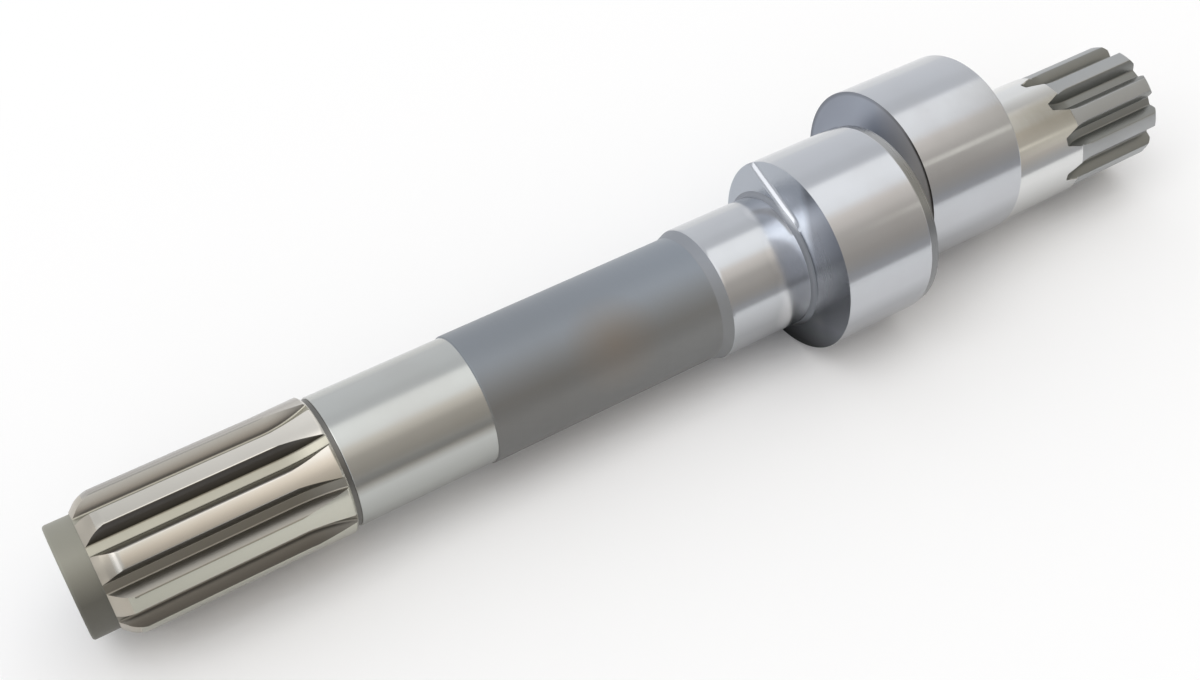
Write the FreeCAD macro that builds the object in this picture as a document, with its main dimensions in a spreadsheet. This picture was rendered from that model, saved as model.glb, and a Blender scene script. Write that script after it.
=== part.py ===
# Pump shaft with two offset round lobes and a spline at each end, one turned, hobbed and ground piece.
# Millimetres. X runs along the shaft from front to rear, Z is up, and the origin is on the shaft axis
# in the middle of the front bearing seat. Sketches measure along the shaft from the front end face.
# Angles about the shaft go from +Y towards +Z.
import FreeCAD
import Part
import Sketcher
import math
import os

doc = FreeCAD.newDocument("pump_shaft")

# Sizes that are chosen
SIZES = [
    ("stub_diameter", 35.0, "plain stub in front of the front spline"),
    ("stub_length", 8.0, "its length"),
    ("stub_edge", 0.8, "edge break of the stub"),
    ("centre_hole_diameter", 4.0, "straight hole of the turning centres"),
    ("centre_mouth_diameter", 8.5, "mouth of their 60 degree cone"),
    ("centre_hole_depth", 9.0, "their depth"),
    ("gear_module", 3.75, "spline module"),
    ("tooth_count", 10, "teeth on each spline"),
    ("pressure_angle", 20.0, "spline pressure angle in degrees"),
    ("profile_shift", 0.8, "spline profile shift in modules"),
    ("tip_height", 0.1, "gap between shifted pitch line and tooth top in modules"),
    ("tooth_depth", 1.1, "tooth depth in modules"),
    ("tooth_edge", 0.3, "edge break along the tooth tops"),
    ("root_corner", 0.45, "corner left by the hob beside the gap floor"),
    ("front_spline_length", 71.0, "front spline"),
    ("front_lead_length", 4.3, "chamfer on its tooth ends along the shaft"),
    ("front_lead_depth", 4.1, "the same chamfer across the shaft"),
    ("front_back_chamfer", 0.9, "chamfer at the journal end of the teeth"),
    ("front_floor_length", 55.2, "level part of the gap floors"),
    ("front_hob_radius", 36.0, "run-out of the front gaps"),
    ("front_gap_angle", 3.5, "where the first front gap stands"),
    ("relief_width", 1.6, "grinding relief between teeth and journal"),
    ("relief_diameter", 41.1, "its floor"),
    ("journal_diameter", 42.0, "ground journal"),
    ("journal_length", 45.4, "its length"),
    ("journal_edge", 0.3, "its edge break"),
    ("middle_diameter", 42.9, "plain dark middle"),
    ("middle_length", 82.8, "its length"),
    ("seat_lead_length", 3.8, "lead-in to the front seat"),
    ("front_seat_diameter", 46.0, "front bearing seat"),
    ("front_seat_length", 31.7, "its length"),
    ("lobe_diameter", 66.4, "both lobes"),
    ("throw", 10.1, "lobe axis to shaft axis"),
    ("lobe_one_length", 37.1, "lobe nearer the front"),
    ("lobe_one_angle", 135.0, "direction of its throw"),
    ("lobe_one_lead_length", 3.5, "lead-in at its rear rim along the shaft"),
    ("lobe_one_lead_depth", 0.7, "the same lead-in across the shaft"),
    ("web_diameter", 44.0, "round web between the lobes"),
    ("web_length", 10.0, "its length"),
    ("lobe_two_length", 39.5, "lobe nearer the rear"),
    ("lobe_two_angle", 45.0, "direction of its throw"),
    ("lobe_edge", 0.4, "edge break of the lobe rims"),
    ("corner_radius", 1.5, "fillet where the seats meet the lobe faces"),
    ("web_corner", 1.2, "bevelled corner where the web meets the lobe faces"),
    ("rear_seat_diameter", 45.0, "rear bearing seat"),
    ("rear_seat_length", 35.3, "its length"),
    ("rear_step_length", 0.4, "bevel from the seat down to the rear spline"),
    ("rear_spline_length", 38.8, "rear spline"),
    ("rear_floor_length", 33.6, "level part of its gap floors"),
    ("rear_hob_radius", 18.0, "run-out of the rear gaps"),
    ("rear_gap_angle", 1.0, "where the first rear gap stands"),
    ("rear_lead", 1.6, "chamfer at the rear end"),
]

# Sizes that follow from the chosen ones
FLANK = "pitch_half_tooth + (tan(pressure_angle) - pressure_angle * pi / 180) * 180 / pi"
BASE = "base_radius"


def gap_half(radius):
    """Half the gap between two teeth at a radius, in degrees, for an involute flank."""
    roll = "min(1; " + BASE + " / (" + radius + "))"
    involute = "(tan(acos(" + roll + ")) - acos(" + roll + ") / 1deg * pi / 180) * 180 / pi"
    return "180 / tooth_count - flank_start + " + involute


FOLLOWING = [
    ("pitch_radius", "gear_module * tooth_count / 2"),
    ("base_radius", "pitch_radius * cos(pressure_angle)"),
    ("spline_radius", "pitch_radius + gear_module * (profile_shift + tip_height)"),
    ("root_radius", "spline_radius - gear_module * tooth_depth"),
    ("pitch_half_tooth", "(pi / 2 + 2 * profile_shift * tan(pressure_angle)) / tooth_count * 180 / pi"),
    ("flank_start", FLANK),
    ("low_radius", "root_radius + root_corner"),
    ("mid_radius", "(root_radius + spline_radius) / 2"),
    ("high_radius", "spline_radius - tooth_edge"),
    ("clear_radius", "spline_radius + 3"),
    ("low_half", gap_half("low_radius")),
    ("mid_half", gap_half("mid_radius")),
    ("high_half", gap_half("high_radius")),
    ("edge_half", "high_half + tooth_edge * 2 / spline_radius * 180 / pi"),
    ("floor_half", "low_half - root_corner / root_radius * 180 / pi"),
    ("stub_end", "stub_length"),
    ("front_spline_end", "stub_end + front_spline_length"),
    ("relief_end", "front_spline_end + relief_width"),
    ("journal_end", "relief_end + journal_length"),
    ("middle_end", "journal_end + middle_length"),
    ("seat_start", "middle_end + seat_lead_length"),
    ("seat_middle", "seat_start + front_seat_length / 2"),
    ("lobe_one_start", "seat_start + front_seat_length"),
    ("lobe_one_end", "lobe_one_start + lobe_one_length"),
    ("lobe_two_start", "lobe_one_end + web_length"),
    ("lobe_two_end", "lobe_two_start + lobe_two_length"),
    ("rear_seat_end", "lobe_two_end + rear_seat_length"),
    ("rear_step_end", "rear_seat_end + rear_step_length"),
    ("shaft_end", "rear_seat_end + rear_spline_length"),
    ("front_floor_end", "stub_end + front_floor_length"),
    ("rear_floor_end", "shaft_end - rear_floor_length"),
    ("lobe_radius", "lobe_diameter / 2"),
    ("cone_depth", "(centre_mouth_diameter - centre_hole_diameter) / 2 / tan(30)"),
]

sheet = doc.addObject("Spreadsheet::Sheet", "Sizes")
sheet.set("A1", "size")
sheet.set("B1", "value")
sheet.set("C1", "meaning")
row = 2
for name, value, meaning in SIZES:
    sheet.set("A%d" % row, name)
    sheet.set("B%d" % row, str(value))
    sheet.setAlias("B%d" % row, name)
    sheet.set("C%d" % row, meaning)
    row += 1
for name, formula in FOLLOWING:
    sheet.set("A%d" % row, name)
    sheet.setAlias("B%d" % row, name)
    sheet.set("B%d" % row, "=" + formula)
    row += 1
doc.recompute()


def val(expression):
    """Value of an expression that uses names from the sheet, for first drawing a sketch."""
    return float(sheet.evalExpression(expression))


# The one body, moved so that the middle of the front seat is at the origin
body = doc.addObject("PartDesign::Body", "pump_shaft")
body.Label = "pump_shaft"
body.Placement = FreeCAD.Placement(FreeCAD.Vector(-val("seat_middle"), 0, 0), FreeCAD.Rotation())
body.setExpression("Placement.Base.x", "-Sizes.seat_middle")
origin = {feature.Role: feature for feature in body.Origin.OriginFeatures}


def new_sketch(name, plane):
    sketch = body.newObject("Sketcher::SketchObject", name)
    sketch.AttachmentSupport = [(origin[plane], "")]
    sketch.MapMode = "FlatFace"
    return sketch


def in_sheet(expression):
    """The same expression as seen from another object, with every name looked up in the sheet."""
    names = [entry[0] for entry in SIZES] + [entry[0] for entry in FOLLOWING]
    words = []
    word = ""
    for letter in expression + " ":
        if letter.isalnum() or letter == "_":
            word += letter
        else:
            words.append("Sizes." + word if word in names else word)
            words.append(letter)
            word = ""
    return "".join(words).strip()


def hold(sketch, geometry, point, across, up):
    """Hold one sketch point at two distances from the sketch origin, both bound to the sheet."""
    for kind, expression in (("DistanceX", across), ("DistanceY", up)):
        amount = val(expression)
        if expression == "0":
            line = -2 if kind == "DistanceX" else -1
            sketch.addConstraint(Sketcher.Constraint("PointOnObject", geometry, point, line))
        else:
            index = sketch.addConstraint(Sketcher.Constraint(kind, -1, 1, geometry, point, amount))
            sketch.setExpression("Constraints[%d]" % index, in_sheet(expression))


def outline(sketch, corners):
    """Closed outline of straight lines, each corner held by two expressions."""
    points = [FreeCAD.Vector(val(a), val(b), 0) for a, b in corners]
    first = sketch.GeometryCount
    total = len(points)
    for i in range(total):
        sketch.addGeometry(Part.LineSegment(points[i], points[(i + 1) % total]), False)
    for i in range(total):
        previous = first + (i - 1) % total
        sketch.addConstraint(Sketcher.Constraint("Coincident", previous, 2, first + i, 1))
    for i, (a, b) in enumerate(corners):
        hold(sketch, first + i, 1, a, b)


def volume():
    return body.Shape.Volume


# Turned shape of the whole shaft
turned_sketch = new_sketch("turned_sketch", "XZ_Plane")
outline(turned_sketch, [
    ("centre_hole_depth", "0"),
    ("centre_hole_depth", "centre_hole_diameter / 2"),
    ("cone_depth", "centre_hole_diameter / 2"),
    ("0", "centre_mouth_diameter / 2"),
    ("0", "stub_diameter / 2 - stub_edge"),
    ("stub_edge", "stub_diameter / 2"),
    ("stub_end", "stub_diameter / 2"),
    ("stub_end", "spline_radius - front_lead_depth"),
    ("stub_end + front_lead_length", "spline_radius"),
    ("front_spline_end - front_back_chamfer", "spline_radius"),
    ("front_spline_end", "spline_radius - front_back_chamfer"),
    ("front_spline_end", "relief_diameter / 2"),
    ("relief_end", "relief_diameter / 2"),
    ("relief_end", "journal_diameter / 2 - journal_edge"),
    ("relief_end + journal_edge", "journal_diameter / 2"),
    ("journal_end", "journal_diameter / 2"),
    ("journal_end", "middle_diameter / 2"),
    ("middle_end", "middle_diameter / 2"),
    ("seat_start", "front_seat_diameter / 2"),
    ("lobe_one_start + lobe_one_length / 2", "front_seat_diameter / 2"),
    ("lobe_one_start + lobe_one_length / 2", "web_diameter / 2"),
    ("lobe_two_start + lobe_two_length / 2", "web_diameter / 2"),
    ("lobe_two_start + lobe_two_length / 2", "rear_seat_diameter / 2"),
    ("rear_seat_end", "rear_seat_diameter / 2"),
    ("rear_step_end", "spline_radius"),
    ("shaft_end - rear_lead", "spline_radius"),
    ("shaft_end", "spline_radius - rear_lead"),
    ("shaft_end", "centre_mouth_diameter / 2"),
    ("shaft_end - cone_depth", "centre_hole_diameter / 2"),
    ("shaft_end - centre_hole_depth", "centre_hole_diameter / 2"),
    ("shaft_end - centre_hole_depth", "0"),
])
doc.recompute()
turned = body.newObject("PartDesign::Revolution", "turned")
turned.Profile = turned_sketch
turned.ReferenceAxis = (turned_sketch, ["H_Axis"])
turned.Angle = 360
doc.recompute()
print("turned shape", round(volume()))


# Round lobes, each turned about its own axis
def add_lobe(name, angle, start, end, front_extra, rear_extra, front_edge, rear_edge):
    """One lobe, a little longer than its faces so that the corners can be cut from it."""
    top = "throw + lobe_radius"
    corners = [(start + " - " + front_extra, "throw")]
    if front_edge:
        low = top + " - " + front_edge[1]
        corners += [(start + " - " + front_extra, low), (start, low), (start + " + " + front_edge[0], top)]
    else:
        corners += [(start + " - " + front_extra, top)]
    low = top + " - " + rear_edge[1]
    corners += [(end + " - " + rear_edge[0], top), (end, low), (end + " + " + rear_extra, low)]
    corners += [(end + " + " + rear_extra, "throw")]
    sketch = new_sketch(name + "_sketch", "XY_Plane")
    turn = FreeCAD.Rotation(FreeCAD.Vector(1, 0, 0), val(angle))
    sketch.AttachmentOffset = FreeCAD.Placement(FreeCAD.Vector(0, 0, 0), turn)
    sketch.setExpression("AttachmentOffset.Rotation.Angle", in_sheet(angle))
    outline(sketch, corners)
    axis = sketch.addGeometry(Part.LineSegment(
        FreeCAD.Vector(val(start), val("throw"), 0),
        FreeCAD.Vector(val(end), val("throw"), 0)), True)
    hold(sketch, axis, 1, start, "throw")
    hold(sketch, axis, 2, end, "throw")
    doc.recompute()
    lobe = body.newObject("PartDesign::Revolution", name)
    lobe.Profile = sketch
    lobe.ReferenceAxis = (sketch, ["Axis0"])
    lobe.Angle = 360
    doc.recompute()
    print(name, round(volume()))
    return lobe


plain_edge = ("lobe_edge", "lobe_edge")
lead_edge = ("lobe_one_lead_length", "lobe_one_lead_depth")
# The front rim of lobe one stays sharp, because there the lobe is almost flush with the seat
add_lobe("lobe_one", "lobe_one_angle", "lobe_one_start", "lobe_one_end",
         "corner_radius", "web_corner", None, lead_edge)
add_lobe("lobe_two", "lobe_two_angle", "lobe_two_start", "lobe_two_end",
         "web_corner", "corner_radius", plain_edge, plain_edge)


# Corners at the four lobe faces, cut from the extra length of the lobes
def cut_fillet(name, face, away, diameter):
    """Ring cut beside a lobe face; away is the sign that leads off the face."""
    sketch = new_sketch(name + "_sketch", "XZ_Plane")
    side = face + away + "corner_radius"
    low = diameter + " / 2"
    high = low + " + corner_radius"
    top = "lobe_radius + throw + 3"
    centre = FreeCAD.Vector(val(side), val(high), 0)
    at_face = FreeCAD.Vector(val(face), val(high), 0)
    at_seat = FreeCAD.Vector(val(side), val(low), 0)
    radius = val("corner_radius")
    start, end = (1.5 * math.pi, 2.0 * math.pi) if at_face.x > at_seat.x else (math.pi, 1.5 * math.pi)
    arc = sketch.addGeometry(Part.ArcOfCircle(
        Part.Circle(centre, FreeCAD.Vector(0, 0, 1), radius), start, end), False)
    seat_point, face_point = (1, 2) if at_face.x > at_seat.x else (2, 1)
    corner_face = FreeCAD.Vector(val(face), val(top), 0)
    corner_side = FreeCAD.Vector(val(side), val(top), 0)
    up_face = sketch.addGeometry(Part.LineSegment(at_face, corner_face), False)
    across = sketch.addGeometry(Part.LineSegment(corner_face, corner_side), False)
    down = sketch.addGeometry(Part.LineSegment(corner_side, at_seat), False)
    sketch.addConstraint(Sketcher.Constraint("Coincident", arc, face_point, up_face, 1))
    sketch.addConstraint(Sketcher.Constraint("Coincident", up_face, 2, across, 1))
    sketch.addConstraint(Sketcher.Constraint("Coincident", across, 2, down, 1))
    sketch.addConstraint(Sketcher.Constraint("Coincident", down, 2, arc, seat_point))
    hold(sketch, arc, 3, side, high)
    hold(sketch, up_face, 1, face, high)
    hold(sketch, across, 1, face, top)
    hold(sketch, down, 1, side, top)
    sketch.addConstraint(Sketcher.Constraint("Vertical", down))
    doc.recompute()
    before = volume()
    cut = body.newObject("PartDesign::Groove", name)
    cut.Profile = sketch
    cut.ReferenceAxis = (sketch, ["H_Axis"])
    cut.Angle = 360
    doc.recompute()
    print(name, "took", round(before - volume(), 1))
    return cut


cut_fillet("fillet_front_seat", "lobe_one_start", " - ", "front_seat_diameter")
cut_fillet("fillet_rear_seat", "lobe_two_end", " + ", "rear_seat_diameter")


def cut_bevel(name, face, away):
    """Ring cut that leaves a bevelled corner between the web and a lobe face."""
    sketch = new_sketch(name + "_sketch", "XZ_Plane")
    side = face + away + "web_corner"
    outline(sketch, [
        (side, "web_diameter / 2"),
        (face, "web_diameter / 2 + web_corner"),
        (face, "lobe_radius + throw + 3"),
        (side, "lobe_radius + throw + 3"),
    ])
    doc.recompute()
    before = volume()
    cut = body.newObject("PartDesign::Groove", name)
    cut.Profile = sketch
    cut.ReferenceAxis = (sketch, ["H_Axis"])
    cut.Angle = 360
    doc.recompute()
    print(name, "took", round(before - volume(), 1))


cut_bevel("bevel_web_front", "lobe_one_end", " + ")
cut_bevel("bevel_web_rear", "lobe_two_start", " - ")


# Spline gaps: a level cut to the shaft end, then the rise that the round hob leaves
def polar(radius, half):
    return radius + " * cos(" + half + ")", radius + " * sin(" + half + ")"


def gap_sketch(name, station, angle, hob_radius):
    """Gap between two teeth, even about the sketch's own X axis, which points out of the shaft."""
    sketch = new_sketch(name, "YZ_Plane")
    turn = FreeCAD.Rotation(FreeCAD.Vector(0, 0, 1), val(angle))
    sketch.AttachmentOffset = FreeCAD.Placement(FreeCAD.Vector(0, 0, val(station)), turn)
    sketch.setExpression("AttachmentOffset.Base.z", in_sheet(station))
    sketch.setExpression("AttachmentOffset.Rotation.Angle", in_sheet(angle))
    floor = polar("root_radius", "floor_half")
    low = polar("low_radius", "low_half")
    mid = polar("mid_radius", "mid_half")
    high = polar("high_radius", "high_half")
    edge = polar("spline_radius", "edge_half")
    clear = polar("clear_radius", "edge_half")

    def at(pair, sign=1):
        return FreeCAD.Vector(val(pair[0]), sign * val(pair[1]), 0)

    floor_arc = sketch.addGeometry(Part.ArcOfCircle(
        Part.Circle(FreeCAD.Vector(0, 0, 0), FreeCAD.Vector(0, 0, 1), val("root_radius")),
        -math.radians(val("floor_half")), math.radians(val("floor_half"))), False)
    chain = {}
    for sign in (1, -1):
        corner = sketch.addGeometry(Part.LineSegment(at(floor, sign), at(low, sign)), False)
        flank = sketch.addGeometry(Part.Arc(at(low, sign), at(mid, sign), at(high, sign)), False)
        bevel = sketch.addGeometry(Part.LineSegment(at(high, sign), at(edge, sign)), False)
        rise = sketch.addGeometry(Part.LineSegment(at(edge, sign), at(clear, sign)), False)
        chain[sign] = (corner, flank, bevel, rise)
    lid = sketch.addGeometry(Part.LineSegment(at(clear, 1), at(clear, -1)), False)
    sketch.addConstraint(Sketcher.Constraint("Coincident", floor_arc, 3, -1, 1))
    for sign in (1, -1):
        corner, flank, bevel, rise = chain[sign]
        start = sketch.getPoint(flank, 1)
        near = 1 if (start - at(low, sign)).Length < (start - at(high, sign)).Length else 2
        sketch.addConstraint(Sketcher.Constraint("Coincident", floor_arc, 2 if sign > 0 else 1, corner, 1))
        sketch.addConstraint(Sketcher.Constraint("Coincident", corner, 2, flank, near))
        sketch.addConstraint(Sketcher.Constraint("Coincident", flank, 3 - near, bevel, 1))
        sketch.addConstraint(Sketcher.Constraint("Coincident", bevel, 2, rise, 1))
        sketch.addConstraint(Sketcher.Constraint("Coincident", rise, 2, lid, 1 if sign > 0 else 2))
    corner, flank, bevel, rise = chain[1]
    hold(sketch, corner, 1, *floor)
    hold(sketch, corner, 2, *low)
    hold(sketch, bevel, 1, *high)
    hold(sketch, bevel, 2, *edge)
    hold(sketch, rise, 2, *clear)
    middle = sketch.addGeometry(Part.Point(at(mid)), True)
    hold(sketch, middle, 1, *mid)
    sketch.addConstraint(Sketcher.Constraint("PointOnObject", middle, 1, flank))
    for k, (first, second) in enumerate(zip(chain[1], chain[-1])):
        if k == 1:
            continue
        sketch.addConstraint(Sketcher.Constraint("Symmetric", first, 2, second, 2, -1))
    sketch.addConstraint(Sketcher.Constraint("Symmetric", chain[1][2], 1, chain[-1][2], 1, -1))
    sketch.addConstraint(Sketcher.Constraint("Equal", flank, chain[-1][1]))
    sketch.addConstraint(Sketcher.Constraint("Vertical", corner, 1, chain[-1][0], 1))
    far = "root_radius + " + hob_radius
    axis = sketch.addGeometry(Part.LineSegment(
        FreeCAD.Vector(val(far), 0, 0), FreeCAD.Vector(val(far), 10, 0)), True)
    hold(sketch, axis, 1, far, "0")
    hold(sketch, axis, 2, far, "spline_radius")
    doc.recompute()
    return sketch


def cut_spline(name, station, angle, hob_radius, length, forward):
    sketch = gap_sketch(name + "_gap_sketch", station, angle, hob_radius)
    before = volume()
    gap = body.newObject("PartDesign::Pocket", name + "_gap")
    gap.Profile = sketch
    gap.Type = "Length"
    gap.Length = val(length)
    gap.setExpression("Length", in_sheet(length))
    gap.Reversed = forward
    doc.recompute()
    print(name, "gap took", round(before - volume(), 1))
    before = volume()
    rise = body.newObject("PartDesign::Groove", name + "_rise")
    rise.Profile = sketch
    rise.ReferenceAxis = (sketch, ["Axis0"])
    rise.Angle = 100
    rise.Midplane = True
    doc.recompute()
    print(name, "rise took", round(before - volume(), 1))
    before = volume()
    teeth = body.newObject("PartDesign::PolarPattern", name + "_teeth")
    teeth.Originals = [gap, rise]
    teeth.Axis = (origin["X_Axis"], [""])
    teeth.Angle = 360
    teeth.Occurrences = int(val("tooth_count"))
    teeth.setExpression("Occurrences", "Sizes.tooth_count")
    body.Tip = teeth
    doc.recompute()
    print(name, "teeth took", round(before - volume(), 1))
    return teeth


cut_spline("front_spline", "front_floor_end", "front_gap_angle", "front_hob_radius",
           "front_floor_end + 5", False)
cut_spline("rear_spline", "rear_floor_end", "rear_gap_angle", "rear_hob_radius",
           "rear_floor_length + 5", True)

# Checks on the finished document, then the file
for item in doc.Objects:
    if "Invalid" in item.State or "Error" in item.State:
        raise RuntimeError(item.Name + " did not compute")
for item in doc.Objects:
    if item.TypeId == "Sketcher::SketchObject":
        print(item.Name, "free sizes left", item.solve(), item.FullyConstrained)
shape = body.Shape
if shape.isNull() or not shape.isValid() or len(shape.Solids) != 1:
    raise RuntimeError("the shaft is not one valid solid")
box = shape.BoundBox
print("box", [round(v, 3) for v in (box.XMin, box.XMax, box.YMin, box.YMax, box.ZMin, box.ZMax)])
print("volume", round(shape.Volume), "faces", len(shape.Faces), "solids", len(shape.Solids))
os.makedirs("parts", exist_ok=True)
body.Shape.exportStep("parts/pump_shaft.step")
print("wrote parts/pump_shaft.step")
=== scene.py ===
# %% [markdown]
# # A pump shaft with two offset lobes
#
# One bar of steel, turned between centres, hobbed at both ends and ground where bearings, rings and a
# seal run. Nothing is fitted to it, so the whole picture is one piece of metal with several finishes.
# The CAD model is loaded first and stays as the fixed frame: every size below is measured against it.

# %% Load the frame
import math

import bmesh
import bpy
from mathutils import Matrix, Vector


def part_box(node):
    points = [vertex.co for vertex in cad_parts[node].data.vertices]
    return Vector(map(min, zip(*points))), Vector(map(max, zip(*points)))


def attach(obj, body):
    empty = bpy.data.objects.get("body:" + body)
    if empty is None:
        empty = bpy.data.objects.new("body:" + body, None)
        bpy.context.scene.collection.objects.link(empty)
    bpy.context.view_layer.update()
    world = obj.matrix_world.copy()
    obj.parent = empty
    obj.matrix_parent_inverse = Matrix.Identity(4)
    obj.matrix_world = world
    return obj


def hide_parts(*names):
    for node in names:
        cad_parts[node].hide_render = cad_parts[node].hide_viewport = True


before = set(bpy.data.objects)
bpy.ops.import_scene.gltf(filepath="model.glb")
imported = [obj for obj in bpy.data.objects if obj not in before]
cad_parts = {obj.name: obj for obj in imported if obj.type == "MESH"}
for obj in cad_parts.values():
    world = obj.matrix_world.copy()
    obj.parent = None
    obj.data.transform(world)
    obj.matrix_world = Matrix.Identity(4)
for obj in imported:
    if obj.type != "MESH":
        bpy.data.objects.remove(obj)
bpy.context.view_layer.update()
print("frame nodes", sorted(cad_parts))

# %% [markdown]
# ## Places along the shaft
#
# A turner's drawing measures along the shaft from one end face. Here a station is that distance in
# millimetres from the face of the plain stub, and a radius is in millimetres too. The frame's own origin
# is in the middle of the front bearing seat, so one small helper turns a station into frame metres.

# %% Stations
MM = 0.001
SEAT_MIDDLE = 228.45  # the frame's origin
STUB_END = 8.0
TIPS_START = 12.3  # end of the chamfer on the front teeth
TIPS_END = 78.1
SPLINE_END = 79.0
JOURNAL_START = 80.6  # the relief groove lies between
JOURNAL_END = 126.0
MIDDLE_END = 208.8
SEAT_START = 212.6  # end of the lead-in cone
LOBE_ONE = (244.3, 281.4)  # its two faces
LOBE_TWO = (291.4, 330.9)
REAR_SEAT_END = 366.2
REAR_TIPS_END = 403.4
SHAFT_END = 405.0
print("shaft of", SHAFT_END, "mm with lobes at", LOBE_ONE, "and", LOBE_TWO)

# %% Radii
STUB_RADIUS = 17.5
CHAMFER_RADIUS = 18.025  # foot of the chamfer on the front teeth
TIP_RADIUS = 22.125  # both splines
ROOT_RADIUS = 18.0
RELIEF_RADIUS = 20.55
JOURNAL_RADIUS = 21.0
MIDDLE_RADIUS = 21.45
FRONT_SEAT_RADIUS = 23.0
WEB_RADIUS = 22.0
REAR_SEAT_RADIUS = 22.5
LOBE_RADIUS = 33.2
THROW = 10.1  # from the shaft's axis to a lobe's own
LOBE_ANGLES = (135.0, 45.0)  # where each lobe's axis lies, in degrees from +Y towards +Z
print("seats of", 2 * FRONT_SEAT_RADIUS, "and", 2 * REAR_SEAT_RADIUS, "mm, lobes of", 2 * LOBE_RADIUS, "mm")


# %% The helper
def at(station, radius=0.0, angle=0.0):
    """Frame point at a station, a radius and an angle from +Y towards +Z in degrees."""
    turn = math.radians(angle)
    return Vector(((station - SEAT_MIDDLE) * MM, radius * MM * math.cos(turn), radius * MM * math.sin(turn)))


low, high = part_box("pump_shaft")
print("shaft in the frame, by station:", [round(end.x / MM + SEAT_MIDDLE, 2) for end in (low, high)])

# %% [markdown]
# ## Camera
#
# The camera comes before the modelling, so that every render can be laid beside the photograph. It
# stands above the stub end and looks along the shaft's axis plane, which is why the far end is smaller.

# %% Camera
eye = at(5.33) + Vector((0, -0.27254, 0.34118))
aim = at(174.95) + Vector((0, -0.00069, 0))
ROLL = -0.31
camera = bpy.data.objects.new("camera", bpy.data.cameras.new("camera"))
camera.data.sensor_width = 36.0
camera.data.lens = 43.63
camera.data.clip_start = 0.01
camera.location = eye
look = (aim - eye).to_track_quat("-Z", "Y")
camera.rotation_euler = (look @ Matrix.Rotation(math.radians(ROLL), 3, "Z").to_quaternion()).to_euler()
bpy.context.scene.collection.objects.link(camera)
bpy.context.scene.camera = camera
print("camera at", [round(c, 4) for c in eye])

# %% [markdown]
# ## Turned shape
#
# A lathe makes this shape by turning one outline about the axis, and so does bmesh.ops.spin. The outline
# is a chain of edges. Its corners are rounded before the spin, while each corner is still one vertex:
# a vertex bevel on a chain gives the small arcs that catch the light on the finished steel.

# %% Outline and spin helpers
ROUND = 256
LOBE_ROUND = 320
SEAM = 1e-7


def chain(bm, corners):
    """Chain of edges through (station, radius, rounding) corners, in the plane above the axis."""
    verts = [bm.verts.new(at(station, radius, 90)) for station, radius, rounding in corners]
    for first, second in zip(verts, verts[1:]):
        bm.edges.new((first, second))
    for vert, (station, radius, rounding) in zip(verts, corners):
        if rounding:
            bmesh.ops.bevel(bm, geom=[vert], offset=rounding * MM, offset_type="OFFSET",
                            segments=4 if rounding < 1 else 8, profile=0.5, affect="VERTICES", material=-1)
    return bm


def turn(bm, centre, steps=ROUND):
    """Spin the whole chain once about a line along the shaft through centre."""
    bmesh.ops.spin(bm, geom=bm.verts[:] + bm.edges[:], cent=centre, axis=(1, 0, 0), dvec=(0, 0, 0),
                   angle=math.tau, steps=steps, use_merge=True)
    bmesh.ops.remove_doubles(bm, verts=bm.verts[:], dist=SEAM)
    bmesh.ops.recalc_face_normals(bm, faces=bm.faces[:])
    return bm


def piece(name, bm):
    """Object at the origin with the finished mesh; the bmesh is used up."""
    mesh = bpy.data.meshes.new(name)
    bm.to_mesh(mesh)
    bm.free()
    obj = bpy.data.objects.new(name, mesh)
    bpy.context.scene.collection.objects.link(obj)
    return obj


print("a full turn has", ROUND, "steps, a lobe's", LOBE_ROUND)

# %% [markdown]
# ## Outline of the blank
#
# The blank is what the lathe and the grinder leave: stub, spline blank, relief groove, journal, middle,
# both seats, and a centre hole in each end, where the bar was held. Inside the lobes the outline steps
# from one radius to the next out of sight, so that the web between the lobes comes with the same spin.

# %% Turn the shaft
HOLE_RADIUS = 2.0
HOLE_DEPTH = 9.0
MOUTH_RADIUS = 4.25  # the centre hole opens as a 60 degree cone
MOUTH_DEPTH = 3.897
STEP = 0.3  # length of the small cone up to the middle
REAR_STEP = 0.4  # and of the one down to the rear teeth
INSIDE_ONE = 262.0  # stations out of sight inside the lobes
INSIDE_TWO = 310.0
front_face = [(HOLE_DEPTH, 0.0, 0), (HOLE_DEPTH, HOLE_RADIUS, 0), (MOUTH_DEPTH, HOLE_RADIUS, 0.3),
              (0.0, MOUTH_RADIUS, 0.15), (0.0, STUB_RADIUS, 0.9), (STUB_END, STUB_RADIUS, 0.3)]
front_blank = [(STUB_END, CHAMFER_RADIUS, 0), (TIPS_START, TIP_RADIUS, 3.2), (TIPS_END, TIP_RADIUS, 0.2),
               (SPLINE_END, TIP_RADIUS - (SPLINE_END - TIPS_END), 0), (SPLINE_END, RELIEF_RADIUS, 0.2)]
journal = [(JOURNAL_START, RELIEF_RADIUS, 0.2), (JOURNAL_START, JOURNAL_RADIUS, 0.3),
           (JOURNAL_END, JOURNAL_RADIUS, 0), (JOURNAL_END + STEP, MIDDLE_RADIUS, 0.2),
           (MIDDLE_END, MIDDLE_RADIUS, 0.3)]
seats = [(SEAT_START, FRONT_SEAT_RADIUS, 0.7), (INSIDE_ONE, FRONT_SEAT_RADIUS, 0),
         (INSIDE_ONE + 1, WEB_RADIUS, 0), (INSIDE_TWO, WEB_RADIUS, 0),
         (INSIDE_TWO + 1, REAR_SEAT_RADIUS, 0), (REAR_SEAT_END, REAR_SEAT_RADIUS, 0.2)]
rear_blank = [(REAR_SEAT_END + REAR_STEP, TIP_RADIUS, 0.2), (REAR_TIPS_END, TIP_RADIUS, 0.5),
              (SHAFT_END, TIP_RADIUS - (SHAFT_END - REAR_TIPS_END), 0.3)]
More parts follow.
